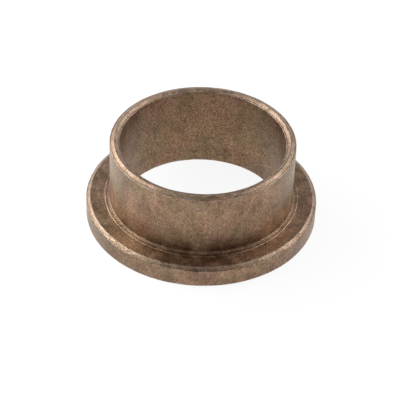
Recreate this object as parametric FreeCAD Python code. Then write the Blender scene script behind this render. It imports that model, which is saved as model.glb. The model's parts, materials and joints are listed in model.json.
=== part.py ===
"""Flanged sleeve bushing in oil-filled sintered bronze: one solid of revolution.

Millimetres, +Z up along the bore. The origin is on the bore's axis, at the flange's
bottom face, and the sleeve stands up from the flange.
"""

import FreeCAD, Part
import math
import os

INCH = 25.4

# Driving dimensions: inch-series bearing for a one-and-a-half inch shaft
bore_diameter = 1.5 * INCH
sleeve_diameter = 1.6875 * INCH
flange_diameter = 2.125 * INCH
overall_length = 0.820 * INCH
flange_thickness = 0.200 * INCH

# Rim: it slopes to both sides of a narrow flat crest at the middle of the wall, down to a
# narrow land beside the bore and another beside the sleeve's outside
crest_width = 0.25
rim_drop = 0.38
rim_land_width = 0.38

# Flange: its upper edge slopes down to a narrow land beside its wall
flange_slope_width = 0.55
flange_slope_drop = 0.52
flange_land_width = 0.27

# Sleeve's base: a low ring stands on the flange round the fillet
base_ring_width = 1.24
base_ring_height = 0.06
base_ring_slope_width = 0.14
base_fillet = 0.42

# Rounding of the turned edges
bottom_round = 0.40
wall_edge_round = 0.20
flange_slope_round = 0.30
crest_round = 0.10
ring_edge_round = 0.10

# Radii and heights worked out from the dimensions above
bore_radius = bore_diameter / 2
sleeve_radius = sleeve_diameter / 2
flange_radius = flange_diameter / 2
crest_radius = (bore_radius + sleeve_radius) / 2
flange_land_z = flange_thickness - flange_slope_drop
rim_land_z = overall_length - rim_drop
ring_top_z = flange_thickness + base_ring_height
ring_foot_radius = sleeve_radius + base_ring_width


def outline():
    """Corners of the half section as (radius, height, rounding), bottom inner corner first."""
    return [
        (bore_radius, 0, bottom_round),
        (flange_radius, 0, bottom_round),
        (flange_radius, flange_land_z, wall_edge_round),
        (flange_radius - flange_land_width, flange_land_z, 0),
        (flange_radius - flange_land_width - flange_slope_width, flange_thickness, flange_slope_round),
        (ring_foot_radius, flange_thickness, 0),
        (ring_foot_radius - base_ring_slope_width, ring_top_z, ring_edge_round),
        (sleeve_radius, ring_top_z, base_fillet),
        (sleeve_radius, rim_land_z, wall_edge_round),
        (sleeve_radius - rim_land_width, rim_land_z, 0),
        (crest_radius + crest_width / 2, overall_length, crest_round),
        (crest_radius - crest_width / 2, overall_length, crest_round),
        (bore_radius + rim_land_width, rim_land_z, 0),
        (bore_radius, rim_land_z, wall_edge_round),
    ]


def point(radius, height):
    """A point of the half section, at y = 0."""
    return FreeCAD.Vector(radius, 0, height)


def rounding_arc(before, corner, after, radius):
    """Start, middle and end of the arc that rounds a corner and runs smoothly into both sides."""
    toward_before = (before - corner).normalize()
    toward_after = (after - corner).normalize()
    half_angle = toward_before.getAngle(toward_after) / 2
    bisector = (toward_before + toward_after).normalize()
    centre = corner + bisector * (radius / math.sin(half_angle))
    reach = radius / math.tan(half_angle)
    return corner + toward_before * reach, centre - bisector * radius, corner + toward_after * reach


def turned_section(corners):
    """The face enclosed by the corners, with the rounded ones drawn as true arcs."""
    places = [point(radius, height) for radius, height, rounding in corners]
    arcs = []
    for k, (radius, height, rounding) in enumerate(corners):
        following = places[(k + 1) % len(places)]
        if rounding > 0:
            arcs.append(rounding_arc(places[k - 1], places[k], following, rounding))
        else:
            arcs.append((places[k], None, places[k]))
    edges = []
    for k, (start, middle, end) in enumerate(arcs):
        if middle is not None:
            edges.append(Part.Arc(start, middle, end).toShape())
        next_start = arcs[(k + 1) % len(arcs)][0]
        edges.append(Part.LineSegment(end, next_start).toShape())
    return Part.Face(Part.Wire(edges))


def flanged_bushing():
    """The half section turned once round the bore's axis."""
    section = turned_section(outline())
    return section.revolve(FreeCAD.Vector(0, 0, 0), FreeCAD.Vector(0, 0, 1), 360)


def plain_rings_volume():
    """Sleeve and flange as plain rings, without slopes, rounding or base ring."""
    sleeve = math.pi * (sleeve_radius ** 2 - bore_radius ** 2) * overall_length
    flange = math.pi * (flange_radius ** 2 - sleeve_radius ** 2) * flange_thickness
    return sleeve + flange


bushing = flanged_bushing()
volume_ratio = bushing.Volume / plain_rings_volume()
print("valid", bushing.isValid(), "solids", len(bushing.Solids), "faces", len(bushing.Faces))
print("volume mm3", round(bushing.Volume, 1), "against plain rings", round(volume_ratio, 4))
print("box", bushing.optimalBoundingBox())

os.makedirs("parts", exist_ok=True)
bushing.exportStep("parts/flanged_bushing.step")
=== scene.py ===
"""Looks for the flanged sintered-bronze bushing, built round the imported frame. Metres, +Z up."""

import json
import math
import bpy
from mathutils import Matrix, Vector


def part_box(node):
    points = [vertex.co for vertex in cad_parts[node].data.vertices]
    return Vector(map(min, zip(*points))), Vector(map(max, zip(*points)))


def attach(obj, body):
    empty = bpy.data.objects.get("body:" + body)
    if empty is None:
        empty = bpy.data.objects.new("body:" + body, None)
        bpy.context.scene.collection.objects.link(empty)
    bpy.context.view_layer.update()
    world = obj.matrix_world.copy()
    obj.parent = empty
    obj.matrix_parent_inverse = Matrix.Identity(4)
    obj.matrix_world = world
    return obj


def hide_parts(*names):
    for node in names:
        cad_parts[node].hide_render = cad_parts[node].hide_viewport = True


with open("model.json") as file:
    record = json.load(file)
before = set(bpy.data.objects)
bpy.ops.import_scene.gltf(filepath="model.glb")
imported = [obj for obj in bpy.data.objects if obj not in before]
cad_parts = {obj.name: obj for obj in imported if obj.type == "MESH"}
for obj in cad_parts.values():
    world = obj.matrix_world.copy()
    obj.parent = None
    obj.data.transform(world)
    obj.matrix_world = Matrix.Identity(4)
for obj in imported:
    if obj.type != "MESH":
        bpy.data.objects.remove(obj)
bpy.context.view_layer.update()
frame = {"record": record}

from types import SimpleNamespace

import bpy
import numpy as np
from mathutils import Matrix, Vector

MM = 0.001
FULL_TURN = 2 * math.pi

# ---------------------------------------------------------------- sizes, from the frame
node = "flanged_bushing"
_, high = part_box(node)
mounts = {m["name"]: m for m in frame["record"]["mounts"]}
flange_r = high.x
overall = high.z
bore_r = mounts["bore"]["dims"]["r_mm"] * MM
sleeve_r = mounts["sleeve_outside"]["dims"]["r_mm"] * MM
shoulder_z = mounts["flange_shoulder"]["pos_m"][2]

# ---------------------------------------------------------------- edges
bottom_round = 0.40 * MM
flange_bevel_width = 0.55 * MM
flange_bevel_drop = 0.52 * MM
flange_land = 0.27 * MM
flange_slope_round = 0.50 * MM
corner_round = 0.20 * MM
ring_width = 1.24 * MM
ring_height = 0.06 * MM
ring_slope = 0.14 * MM
ring_round = 0.06 * MM
base_fillet = 0.38 * MM
lip_gap = 0.10 * MM
lip_width = 0.08 * MM
lip_height = 0.035 * MM
lip_foot_round = 0.04 * MM
lip_top_round = 0.03 * MM
rim_drop = 0.38 * MM
rim_land = 0.38 * MM
crest_flat = 0.25 * MM
crest_round = 0.10 * MM
small_round = 0.05 * MM

# ---------------------------------------------------------------- mesh
SEGMENTS = 780            # steps round the axis, an even number
PLAIN_STEP = 0.9 * MM     # between rows on the plain faces
GUARD_ROW = 0.35 * MM     # from a rounded corner to the first row on a long face
ARC_STEPS = 3             # across each rounded corner
UV_MARGIN = 0.005

# ---------------------------------------------------------------- wear in the shape
DENTS = 420
DENT_WIDTH_MM = (0.18, 0.7)
DENT_HEIGHT_MM = (0.08, 0.26)
DENT_DEPTH_MM = (0.015, 0.07)
DENT_FAINTEST = 0.3       # the least share of its depth that a dent keeps
DENTED_WEAR = 0.4         # only rows worn at least this much have dents
WAVES = 36
WAVE_LENGTH_MM = (1.6, 7.0)
WAVE_SPREAD = 2.8         # how far the summed waves run before they are clipped
WAVE_DEPTH = 0.018 * MM
CREVICE_REACH = 0.38 * MM
INSIDE_REACH = 0.3 * MM   # how far from the bore's wall still looks like the inside
TINY = 0.01 * MM
seeded = np.random.default_rng(27)


# ---------------------------------------------------------------- shape
def outline():
    """The half section's corners as (radius, height, rounding, wear), bottom inner corner first."""
    wall_top = shoulder_z - flange_bevel_drop
    ring_z = shoulder_z + ring_height
    lip_z = ring_z + lip_height
    rim_z = overall - rim_drop
    crest_r = (bore_r + sleeve_r) / 2
    bevel_r = flange_r - flange_land - flange_bevel_width
    ring_r = sleeve_r + ring_width
    lip_r = sleeve_r + base_fillet + lip_gap
    return [
        (bore_r, 0, bottom_round, 0.5),
        (flange_r, 0, bottom_round, 0.3),
        (flange_r, wall_top, corner_round, 0.45),
        (flange_r - flange_land, wall_top, small_round, 0.35),
        (bevel_r, shoulder_z, flange_slope_round, 0.60),
        (ring_r, shoulder_z, small_round, 0.0),
        (ring_r - ring_slope, ring_z, ring_round, 0.5),
        (lip_r + lip_width, ring_z, lip_foot_round, 0.0),
        (lip_r, lip_z, lip_top_round, 0.4),
        (sleeve_r, lip_z, base_fillet, 0.0),
        (sleeve_r, rim_z, corner_round, 0.55),
        (sleeve_r - rim_land, rim_z, small_round, 0.3),
        (crest_r + crest_flat / 2, overall, crest_round, 0.55),
        (crest_r - crest_flat / 2, overall, crest_round, 0.70),
        (bore_r + rim_land, rim_z, small_round, 0.45),
        (bore_r, rim_z, corner_round, 0.55),
    ]


def corner_arc(before, corner, after, radius):
    """Points on the arc that rounds the corner between its two neighbours."""
    before = before - corner
    after = after - corner
    before /= np.linalg.norm(before)
    after /= np.linalg.norm(after)
    half = math.acos(float(np.clip(before @ after, -1, 1))) / 2
    reach = radius / math.tan(half)
    start = corner + before * reach
    end = corner + after * reach
    centre = corner + (before + after) / np.linalg.norm(before + after) * radius / math.sin(half)
    arc = []
    for i in range(ARC_STEPS + 1):
        ray = (start - centre) * (1 - i / ARC_STEPS) + (end - centre) * i / ARC_STEPS
        arc.append(centre + ray / np.linalg.norm(ray) * radius)
    return arc


def rounded(corners):
    """Points along the closed outline with each corner rounded, and the wear at each point."""
    count = len(corners)
    places = [np.array(corner[:2]) for corner in corners]
    arcs = []
    for k in range(count):
        arcs.append(corner_arc(places[k - 1], places[k], places[(k + 1) % count], corners[k][2]))
    points, wear = [], []
    for k in range(count):
        points += arcs[k]
        wear += [corners[k][3]] * len(arcs[k])
        start, end = arcs[k][-1], arcs[(k + 1) % count][0]
        gap = np.linalg.norm(end - start)
        pieces = max(1, int(round(gap / PLAIN_STEP)))
        steps = list(np.arange(1, pieces) / pieces)
        if gap > 3 * GUARD_ROW:
            steps = sorted(steps + [GUARD_ROW / gap, 1 - GUARD_ROW / gap])
        for t in steps:
            points.append(start + (end - start) * t)
            wear.append(0.0)
    return np.array(points), np.array(wear)


def outward(points):
    """The outline's outward direction at each point, as (radial, axial)."""
    along = np.roll(points, -1, axis=0) - np.roll(points, 1, axis=0)
    normal = np.stack([along[:, 1], -along[:, 0]], axis=1)
    return normal / np.linalg.norm(normal, axis=1)[:, None]


def dents(points, wear, angles):
    """How far each vertex is pressed in by knocks and scuffs on the worn edges."""
    depth = np.zeros((len(angles), len(points)))
    edges = np.flatnonzero(wear >= DENTED_WEAR)
    for _ in range(DENTS):
        row = seeded.choice(edges)
        angle = seeded.uniform(0, FULL_TURN)
        width = seeded.uniform(*DENT_WIDTH_MM) * MM
        tall = seeded.uniform(*DENT_HEIGHT_MM) * MM
        deep = seeded.uniform(*DENT_DEPTH_MM) * MM * seeded.uniform(DENT_FAINTEST, 1)
        turn = (angles - angle + math.pi) % FULL_TURN - math.pi
        across = turn * points[row, 0] / width
        near = np.abs(across) < 3
        up = np.linalg.norm(points - points[row], axis=1) / tall
        depth[near] = np.maximum(depth[near], deep * np.exp(-across[near, None] ** 2 - up[None, :] ** 2))
    return depth


def ripple(coords):
    """Faint waviness of the pressed surface, between 0 and 1."""
    total = np.zeros(coords.shape[:2])
    for _ in range(WAVES):
        direction = seeded.normal(size=3)
        direction /= np.linalg.norm(direction)
        wave = FULL_TURN / (seeded.uniform(*WAVE_LENGTH_MM) * MM)
        total += np.cos(coords @ (direction * wave) + seeded.uniform(0, FULL_TURN))
    return np.clip(0.5 + total / math.sqrt(WAVES) / WAVE_SPREAD, 0, 1)


def turned(radial, axial, angles):
    """Coordinates of a radial and an axial value per segment and row, turned round the Z axis."""
    return np.stack([
        radial * np.cos(angles)[:, None],
        radial * np.sin(angles)[:, None],
        axial + np.zeros_like(radial),
    ], axis=-1)


def store(mesh, name, by_row):
    """A per-vertex value that depends only on the place along the outline."""
    attribute = mesh.attributes.new(name, "FLOAT", "POINT")
    attribute.data.foreach_set("value", np.tile(by_row, SEGMENTS).astype(np.float32))


def mark_surface(mesh, points, wear, normal):
    """What the material needs to know about each place: worn, upright, in the crevice, inside."""
    store(mesh, "wear", np.clip(wear, 0, 1))
    store(mesh, "axial", np.abs(normal[:, 0]) ** 4)
    # the crevice mask also carries the painted shade that darkens the fillet crease
    corner = np.array([sleeve_r, shoulder_z + ring_height])
    away = np.linalg.norm(points - corner, axis=1) / CREVICE_REACH
    outside = points[:, 0] > sleeve_r - TINY
    store(mesh, "crevice", np.where(outside, np.exp(-away ** 2), 0))
    # the inside mask also carries the painted shade that darkens the bore
    store(mesh, "inside", (points[:, 0] < bore_r + INSIDE_REACH).astype(float))


def unwrap(mesh, points):
    """UVs for baking: one strip for each half turn, with the outline's length up the strip."""
    steps = np.linalg.norm(np.roll(points, -1, axis=0) - points, axis=1)
    place = np.concatenate([[0], np.cumsum(steps)]) / steps.sum()
    rows = len(points)
    half = SEGMENTS // 2
    across = 1 - 2 * UV_MARGIN
    uv = np.empty((SEGMENTS, rows, 4, 2))
    for k in range(SEGMENTS):
        strip, column = divmod(k, half)
        left = np.full(rows, UV_MARGIN + across * column / half)
        right = np.full(rows, UV_MARGIN + across * (column + 1) / half)
        v = 0.5 * strip + UV_MARGIN + (0.5 - 2 * UV_MARGIN) * place
        uv[k, :, 3] = np.stack([left, v[:-1]], axis=1)
        uv[k, :, 2] = np.stack([left, v[1:]], axis=1)
        uv[k, :, 1] = np.stack([right, v[1:]], axis=1)
        uv[k, :, 0] = np.stack([right, v[:-1]], axis=1)
    layer = mesh.uv_layers.new(name="OFBake")
    layer.data.foreach_set("uv", uv.reshape(-1))


def lathe(name, points, wear):
    """The outline turned round the Z axis into one closed mesh, worn inwards."""
    rows = len(points)
    angles = np.arange(SEGMENTS) * 2 * math.pi / SEGMENTS
    normal = outward(points)
    plain = turned(np.tile(points[:, 0], (SEGMENTS, 1)), points[:, 1], angles)
    depth = dents(points, wear, angles) + ripple(plain) * WAVE_DEPTH
    underside = points[:, 1] < TINY
    depth = np.where(underside, 0, depth)
    coords = plain - turned(depth * normal[:, 0], depth * normal[:, 1], angles)

    index = np.arange(SEGMENTS * rows).reshape(SEGMENTS, rows)
    turn = np.roll(index, -1, axis=0)
    faces = np.stack([index, np.roll(index, -1, axis=1), np.roll(turn, -1, axis=1), turn], axis=-1)
    mesh = bpy.data.meshes.new(name)
    mesh.from_pydata(coords.reshape(-1, 3).tolist(), [], faces.reshape(-1, 4)[:, ::-1].tolist())
    mesh.update()
    mesh.shade_smooth()
    mark_surface(mesh, points, wear, normal)
    unwrap(mesh, points)
    obj = bpy.data.objects.new(name, mesh)
    bpy.context.scene.collection.objects.link(obj)
    return obj


# ---------------------------------------------------------------- material
class Graph:
    """Short names for building a node tree."""

    def __init__(self, tree):
        self.tree = tree

    def put(self, socket, value):
        if isinstance(value, bpy.types.NodeSocket):
            self.tree.links.new(value, socket)
        else:
            socket.default_value = value

    def place(self, output):
        """Where the shaded point is, in one of the texture coordinate node's frames."""
        return self.tree.nodes.new("ShaderNodeTexCoord").outputs[output]

    def math(self, operation, a, b=0.0):
        item = self.tree.nodes.new("ShaderNodeMath")
        item.operation = operation
        self.put(item.inputs[0], a)
        self.put(item.inputs[1], b)
        return item.outputs[0]

    def product(self, first, *others):
        for other in others:
            first = self.math("MULTIPLY", first, other)
        return first

    def total(self, first, *others):
        for other in others:
            first = self.math("ADD", first, other)
        return first

    def noise(self, vector, size_mm, detail=2.0, roughness=0.5):
        item = self.tree.nodes.new("ShaderNodeTexNoise")
        self.put(item.inputs["Vector"], vector)
        item.inputs["Scale"].default_value = 1 / (size_mm * MM)
        item.inputs["Detail"].default_value = detail
        item.inputs["Roughness"].default_value = roughness
        return item.outputs["Fac"]

    def cells(self, vector, size_mm):
        item = self.tree.nodes.new("ShaderNodeTexVoronoi")
        self.put(item.inputs["Vector"], vector)
        item.inputs["Scale"].default_value = 1 / (size_mm * MM)
        return item.outputs["Distance"]

    def span(self, value, low, high, new_low=0.0, new_high=1.0):
        item = self.tree.nodes.new("ShaderNodeMapRange")
        item.interpolation_type = "SMOOTHSTEP"
        self.put(item.inputs["Value"], value)
        item.inputs["From Min"].default_value = low
        item.inputs["From Max"].default_value = high
        item.inputs["To Min"].default_value = new_low
        item.inputs["To Max"].default_value = new_high
        return item.outputs["Result"]

    def blend(self, factor, a, b):
        item = self.tree.nodes.new("ShaderNodeMix")
        item.data_type = "RGBA"
        self.put(item.inputs[0], factor)
        self.put(item.inputs[6], a)
        self.put(item.inputs[7], b)
        return item.outputs[2]

    def scaled(self, vector, factors):
        item = self.tree.nodes.new("ShaderNodeVectorMath")
        item.operation = "MULTIPLY"
        self.put(item.inputs[0], vector)
        item.inputs[1].default_value = factors
        return item.outputs[0]

    def shade(self, colour, value):
        """The colour with its brightness multiplied by a value."""
        item = self.tree.nodes.new("ShaderNodeVectorMath")
        item.operation = "SCALE"
        self.put(item.inputs[0], colour)
        self.put(item.inputs["Scale"], value)
        return item.outputs[0]

    def length(self, vector):
        item = self.tree.nodes.new("ShaderNodeVectorMath")
        item.operation = "LENGTH"
        self.put(item.inputs[0], vector)
        return item.outputs["Value"]

    def split(self, vector):
        item = self.tree.nodes.new("ShaderNodeSeparateXYZ")
        self.put(item.inputs[0], vector)
        return item.outputs

    def join(self, x, y, z):
        item = self.tree.nodes.new("ShaderNodeCombineXYZ")
        for socket, value in zip(item.inputs, (x, y, z)):
            self.put(socket, value)
        return item.outputs[0]

    def attribute(self, name):
        item = self.tree.nodes.new("ShaderNodeAttribute")
        item.attribute_name = name
        return item.outputs["Fac"]


def patterns(g):
    """The patterns and marks that colour, roughness and height share. Sizes in millimetres."""
    here = g.place("Object")
    along_tool = g.split(g.scaled(here, (0.09, 0.09, 1.0)))
    tool_place = g.join(g.length(g.scaled(here, (1.0, 1.0, 0.0))), along_tool["X"], along_tool["Y"])
    axial = g.attribute("axial")
    return SimpleNamespace(
        wear=g.attribute("wear"),
        axial=axial,
        flat=g.math("SUBTRACT", 1.0, axial),
        crevice=g.attribute("crevice"),
        inside=g.attribute("inside"),
        height=g.split(here)["Z"],
        blotch=g.noise(here, 8.0, 2, 0.5),
        cloud=g.noise(g.scaled(here, (1.0, 1.0, 0.6)), 4.5, 2, 0.5),
        patch=g.noise(g.scaled(here, (1.0, 1.0, 0.8)), 3.2, 3, 0.5),
        mottle=g.noise(here, 1.1, 2, 0.55),
        grain=g.noise(here, 0.36, 2, 0.6),
        pores=g.span(g.cells(here, 0.62), 0.10, 0.30),
        # long along the axis, on the upright walls
        drag=g.noise(g.scaled(here, (1.0, 1.0, 0.09)), 0.45, 2, 0.6),
        # narrow across and long round the axis, on the flat faces and slopes
        turning=g.noise(tool_place, 0.30, 2, 0.6),
        # short breaks in the rubbed edges
        chatter=g.noise(here, 0.42, 3, 0.75),
    )


def brightness(g, p):
    """How light the metal's colour is at each place, about 1 on average; darker in the fillet crease by
    painted shade.
    """
    cloud_share = g.math("SUBTRACT", 0.75, g.product(p.inside, 0.25))
    cloud = g.product(g.span(p.cloud, 0.35, 0.65, -0.14, 0.14), cloud_share)
    flange_or_sleeve = g.span(p.height, 4.4 * MM, 5.2 * MM, 0.93, 1.03)
    grain_share = g.total(1.0, g.product(p.inside, 0.55))
    speckle = g.product(g.span(p.grain, 0.28, 0.72, -0.29, 0.29), grain_share)
    streaks = g.product(g.span(p.drag, 0.30, 0.70, -0.05, 0.05), p.axial)
    rings = g.product(g.span(p.turning, 0.30, 0.70, -0.12, 0.12), p.flat)
    # painted shade: the fillet crease at the sleeve's foot is darkened by up to a half, which damps its
    # highlight
    crevice_painted_shade = g.product(p.crevice, g.span(p.mottle, 0.25, 0.7, 0.50, 0.30))
    return g.product(
        g.span(p.patch, 0.25, 0.75, 0.79, 1.25),
        g.total(1.0, cloud),
        flange_or_sleeve,
        g.span(p.mottle, 0.28, 0.72, 0.82, 1.18),
        g.total(1.0, speckle),
        g.span(p.pores, 0.0, 1.0, 0.54, 1.0),
        g.total(1.0, g.total(streaks, rings)),
        g.math("SUBTRACT", 1.0, crevice_painted_shade),
    )


def metal_colour(g, p):
    """Olive and brown bronze with grey patches, and pale metal where the edges have rubbed; the bore is
    browner and darkened by painted shade.
    """
    olive = (0.251, 0.170, 0.100, 1)
    brown = (0.277, 0.168, 0.107, 1)
    grey = (0.230, 0.172, 0.126, 1)
    pale = (0.37, 0.275, 0.212, 1)
    # the bore's metal is a little browner, and painted shade darkens it by about a sixth
    bore_browning_and_shade = (0.873, 0.833, 0.782)
    colour = g.blend(g.span(p.blotch, 0.36, 0.64), olive, brown)
    colour = g.blend(g.span(p.patch, 0.52, 0.74, 0.0, 0.45), colour, grey)
    colour = g.blend(p.inside, colour, g.scaled(colour, bore_browning_and_shade))
    colour = g.shade(colour, brightness(g, p))

    worn = g.math("GREATER_THAN", p.wear, 0.02)
    breaks = g.total(g.product(p.turning, 2.0), g.product(p.chatter, 3.0))
    rub = g.math("SUBTRACT", g.total(p.wear, breaks), 2.5)
    rub = g.product(g.span(rub, 0.20, 0.90), worn)
    colour = g.blend(worn, colour, g.shade(colour, 0.90))
    return g.blend(g.product(rub, 0.90), colour, pale)


def roughness(g, p):
    return g.total(
        g.span(p.mottle, 0.25, 0.75, 0.36, 0.50),
        g.span(p.patch, 0.25, 0.75, -0.05, 0.06),
        g.product(p.crevice, 0.12),
        g.span(p.grain, 0.3, 0.7, 0.05, -0.05),
    )


def relief(g, p):
    """The surface's fine height, in metres."""
    return g.total(
        g.product(p.grain, 0.020 * MM),
        g.product(p.mottle, 0.040 * MM),
        g.product(p.pores, 0.020 * MM),
        g.product(p.turning, p.flat, 0.014 * MM),
        g.product(p.chatter, p.wear, 0.045 * MM),
        g.product(p.drag, p.axial, 0.007 * MM),
    )


def bronze():
    material = bpy.data.materials.new("sintered_bronze")
    material.use_nodes = True
    tree = material.node_tree
    shader = tree.nodes["Principled BSDF"]
    g = Graph(tree)
    p = patterns(g)
    g.put(shader.inputs["Base Color"], metal_colour(g, p))
    g.put(shader.inputs["Roughness"], roughness(g, p))
    bump = tree.nodes.new("ShaderNodeBump")
    bump.inputs["Strength"].default_value = 1.0
    bump.inputs["Distance"].default_value = 1.0
    g.put(bump.inputs["Height"], relief(g, p))
    g.put(shader.inputs["Normal"], bump.outputs["Normal"])
    shader.inputs["Metallic"].default_value = 1.0
    shader.inputs["Coat Weight"].default_value = 0.18
    shader.inputs["Coat Roughness"].default_value = 0.30
    return material


points, wear = rounded(outline())
bushing = lathe("bronze_bushing", points, wear)
bushing.data.materials.append(bronze())
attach(bushing, "root")
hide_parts(node)


# ---------------------------------------------------------------- stage, light and camera
WHITE = (1, 1, 1, 1)
FLOOR_GREY = (0.10, 0.10, 0.10, 1)
FLOOR_HALF_WIDTH = 3.0
FLOOR_GAP = 0.02 * MM     # keeps the floor out of the underside's own plane
LIGHT_DISTANCE = 0.9
LIGHTS = [
    # name, azimuth, elevation (degrees), size (metres), power (watts)
    ("left", -122, 41, (0.6, 0.6), 4.5),
    ("left_front", -85, 38, (0.5, 0.5), 2.4),
    ("left_low", -132, 14, (0.5, 0.4), 0.9),
    ("right", 122, 41, (0.6, 0.6), 2.6),
    ("right_front", 85, 38, (0.5, 0.5), 1.7),
]
CAMERA_ELEVATION = math.radians(39.64)
CAMERA_ROLL = math.radians(1.866)
CAMERA_DISTANCE = 15 * flange_r
CAMERA_AIM = Vector((-0.0096, 0, 0.1119)) * flange_r
CAMERA_LENS = 154.1       # millimetres, on a sensor of 36


def direction(azimuth, elevation):
    """A unit vector from the origin. Azimuth 0 is the camera's side, 90 its right."""
    level = math.cos(elevation)
    return Vector((math.sin(azimuth) * level, -math.cos(azimuth) * level, math.sin(elevation)))


def floor():
    """A plain pale floor that gives off light of its own, a little more to the left."""
    size, z = FLOOR_HALF_WIDTH, -FLOOR_GAP
    mesh = bpy.data.meshes.new("floor")
    corners = [(-size, -size, z), (size, -size, z), (size, size, z), (-size, size, z)]
    mesh.from_pydata(corners, [], [(0, 1, 2, 3)])
    obj = bpy.data.objects.new("floor", mesh)
    bpy.context.scene.collection.objects.link(obj)
    material = bpy.data.materials.new("floor")
    material.use_nodes = True
    shader = material.node_tree.nodes["Principled BSDF"]
    g = Graph(material.node_tree)
    glow = g.span(g.split(g.place("Object"))["X"], -0.10, 0.01, 1.35, 0.90)
    g.put(shader.inputs["Emission Strength"], glow)
    shader.inputs["Emission Color"].default_value = WHITE
    shader.inputs["Base Color"].default_value = FLOOR_GREY
    shader.inputs["Roughness"].default_value = 0.9
    shader.inputs["Specular IOR Level"].default_value = 0.0
    obj.data.materials.append(material)


def softbox(name, azimuth, elevation, size, power):
    """An area light that faces the origin."""
    place = direction(math.radians(azimuth), math.radians(elevation)) * LIGHT_DISTANCE
    data = bpy.data.lights.new(name, "AREA")
    data.shape = "RECTANGLE"
    data.size, data.size_y = size
    data.energy = power
    obj = bpy.data.objects.new(name, data)
    obj.location = place
    obj.rotation_euler = (-place).to_track_quat("-Z", "Y").to_euler()
    bpy.context.scene.collection.objects.link(obj)


def studio():
    """Pale walls: behind the object bright at the horizon, in front and overhead dimmer."""
    world = bpy.data.worlds.new("studio")
    bpy.context.scene.world = world
    world.use_nodes = True
    g = Graph(world.node_tree)
    look = g.split(g.place("Generated"))
    behind = g.span(look["Y"], -0.5, 0.2)
    back_wall = g.product(g.span(look["Z"], 0.10, 0.95, 0.78, 0.26), behind)
    front_wall = g.product(g.span(look["Z"], 0.10, 0.95, 0.42, 0.26), g.math("SUBTRACT", 1.0, behind))
    background = world.node_tree.nodes["Background"]
    background.inputs["Color"].default_value = WHITE
    g.put(background.inputs["Strength"], g.total(back_wall, front_wall))


def camera():
    data = bpy.data.cameras.new("camera")
    data.lens = CAMERA_LENS
    data.sensor_width = 36
    data.clip_start = 0.01
    obj = bpy.data.objects.new("camera", data)
    bpy.context.scene.collection.objects.link(obj)
    place = direction(0, CAMERA_ELEVATION) * CAMERA_DISTANCE
    turn = (place - CAMERA_AIM).to_track_quat("Z", "Y").to_matrix()
    spin = Matrix.Rotation(CAMERA_ROLL, 3, "Z")
    obj.matrix_world = Matrix.Translation(place) @ (turn @ spin).to_4x4()
    bpy.context.scene.camera = obj


floor()
for light in LIGHTS:
    softbox(*light)
studio()
camera()
bpy.context.scene.view_settings.view_transform = "Standard"
